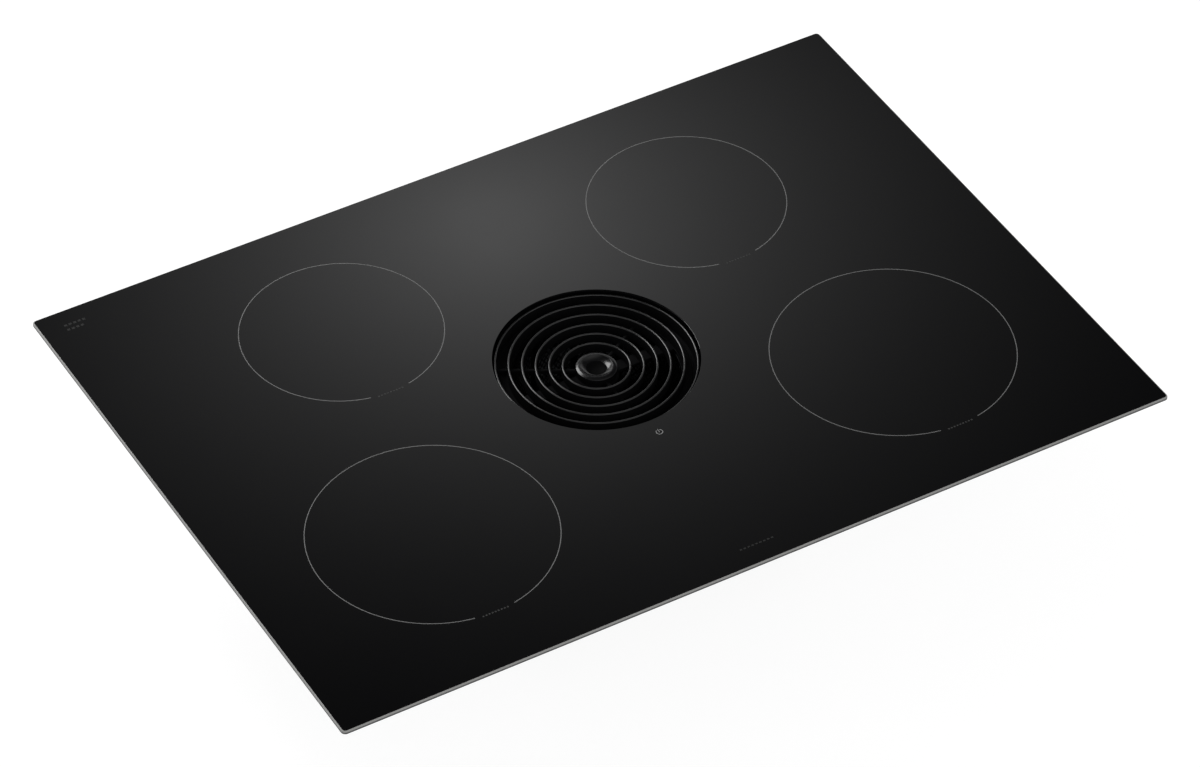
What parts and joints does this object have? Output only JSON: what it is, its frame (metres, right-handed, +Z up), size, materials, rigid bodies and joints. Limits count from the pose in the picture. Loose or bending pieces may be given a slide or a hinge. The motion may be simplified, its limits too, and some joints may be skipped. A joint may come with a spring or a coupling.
{
  "type": "downdraft induction cooktop",
  "caption": "Flat black glass ceramic cooktop with induction zones round a central air intake under a ring grille, over a pan and an extractor box.",
  "frame": {"origin": "on the floor of the air box, under the centre of the glass plate", "axes": "+Z up, +X to the user's right, -Y towards the user at the front edge"},
  "size_m": [0.783, 0.558, 0.21],
  "materials": {
    "glass_ceramic": "polished black, opaque",
    "foam": "matte closed-cell foam",
    "galvanised_sheet": "satin galvanised",
    "aluminium": "satin sheet",
    "plated_steel": "bright zinc plated",
    "copper": "lacquered stranded copper wire",
    "mica": "matte pressed mica",
    "ferrite": "matte dark grey",
    "stainless": "bright rolled",
    "grey_plastic": "fine matte",
    "circuit_board": "satin green lacquer",
    "component_black": "satin",
    "black_plastic": "fine matte",
    "silicone": "satin silicone",
    "black_casting": "satin black coating",
    "gloss_black": "glossy",
    "dark_plastic": "fine matte",
    "filter_metal": "satin sheet, anodised black",
    "airbox_plastic": "fine matte",
    "ivory_plastic": "satin"
  },
  "bodies": {
    "cooktop": {"glass_top": "glass_ceramic", "edge_seal": "foam", "burner_pan": "galvanised_sheet", "coil_shield_plate": "aluminium", "shield_standoffs": "plated_steel", "coil_carrier_front_left": "aluminium", "coil_carrier_front_right": "aluminium", "coil_carrier_rear_left": "aluminium", "coil_carrier_rear_right": "aluminium", "coil_winding_front_left": "copper", "coil_winding_front_right": "copper", "coil_winding_rear_left": "copper", "coil_winding_rear_right": "copper", "mica_discs": "mica", "ferrite_bars": "ferrite", "temperature_sensors": "stainless", "coil_leaf_springs": "stainless", "touch_panel_tray": "grey_plastic", "touch_panel_board": "circuit_board", "touch_springs": "stainless", "power_key_module": "grey_plastic", "power_board_left": "circuit_board", "power_board_right": "circuit_board", "heat_sink_left": "aluminium", "heat_sink_right": "aluminium", "board_components_left": "component_black", "board_components_right": "component_black", "board_standoffs": "plated_steel", "cooling_fan_case_left": "black_plastic", "cooling_fan_case_right": "black_plastic", "well_gasket": "silicone", "vent_well": "black_plastic", "airbox_cover": "airbox_plastic", "airbox_tub": "airbox_plastic", "scroll_wrap": "grey_plastic", "scroll_side_left": "grey_plastic", "scroll_side_right": "grey_plastic", "blower_motor": "galvanised_sheet", "motor_bracket": "galvanised_sheet", "outlet_collar": "airbox_plastic", "terminal_cover": "black_plastic", "terminal_block": "ivory_plastic", "cable_gland": "gloss_black", "blower_control_box": "grey_plastic", "side_spring_clips": "stainless", "airbox_screws": "plated_steel", "collar_screws": "plated_steel", "clip_screws": "plated_steel"},
    "grille": {"grille_rings": "black_casting", "grille_hub": "gloss_black"},
    "filter": {"filter_rim": "dark_plastic", "filter_cup": "dark_plastic", "filter_mesh": "filter_metal", "filter_handle": "dark_plastic"},
    "tray": {"drip_tray": "dark_plastic"},
    "blower": {"blower_wheel": "black_plastic", "blower_shaft": "stainless"},
    "cooling_wheel_left": {"cooling_fan_wheel_left": "black_plastic"},
    "cooling_wheel_right": {"cooling_fan_wheel_right": "black_plastic"},
    "damper": {"damper_flap": "black_plastic"}
  },
  "joints": [
    {"name": "grille_lift", "type": "slide", "parent": "cooktop", "child": "grille", "axis": [0, 0, 1], "range_m": [0, 0.3]},
    {"name": "filter_lift", "type": "slide", "parent": "cooktop", "child": "filter", "axis": [0, 0, 1], "range_m": [0, 0.22]},
    {"name": "tray_lift", "type": "slide", "parent": "cooktop", "child": "tray", "axis": [0, 0, 1], "range_m": [0, 0.215]},
    {"name": "blower_spin", "type": "hinge", "parent": "cooktop", "child": "blower", "pos_m": [0, 0.15, 0.09], "axis": [1, 0, 0], "continuous": true},
    {"name": "cooling_spin_left", "type": "hinge", "parent": "cooktop", "child": "cooling_wheel_left", "pos_m": [-0.232, 0.108, 0.1717], "axis": [0, 0, 1], "continuous": true},
    {"name": "cooling_spin_right", "type": "hinge", "parent": "cooktop", "child": "cooling_wheel_right", "pos_m": [0.232, 0.108, 0.1717], "axis": [0, 0, 1], "continuous": true},
    {"name": "damper_swing", "type": "hinge", "parent": "cooktop", "child": "damper", "pos_m": [0, 0.243, 0.0925], "axis": [1, 0, 0], "range_deg": [0, 80]}
  ],
  "couplings": [
    {"joint": "filter_lift", "follows": "grille_lift", "ratio": 0.73333},
    {"joint": "tray_lift", "follows": "grille_lift", "ratio": 0.71667}
  ]
}
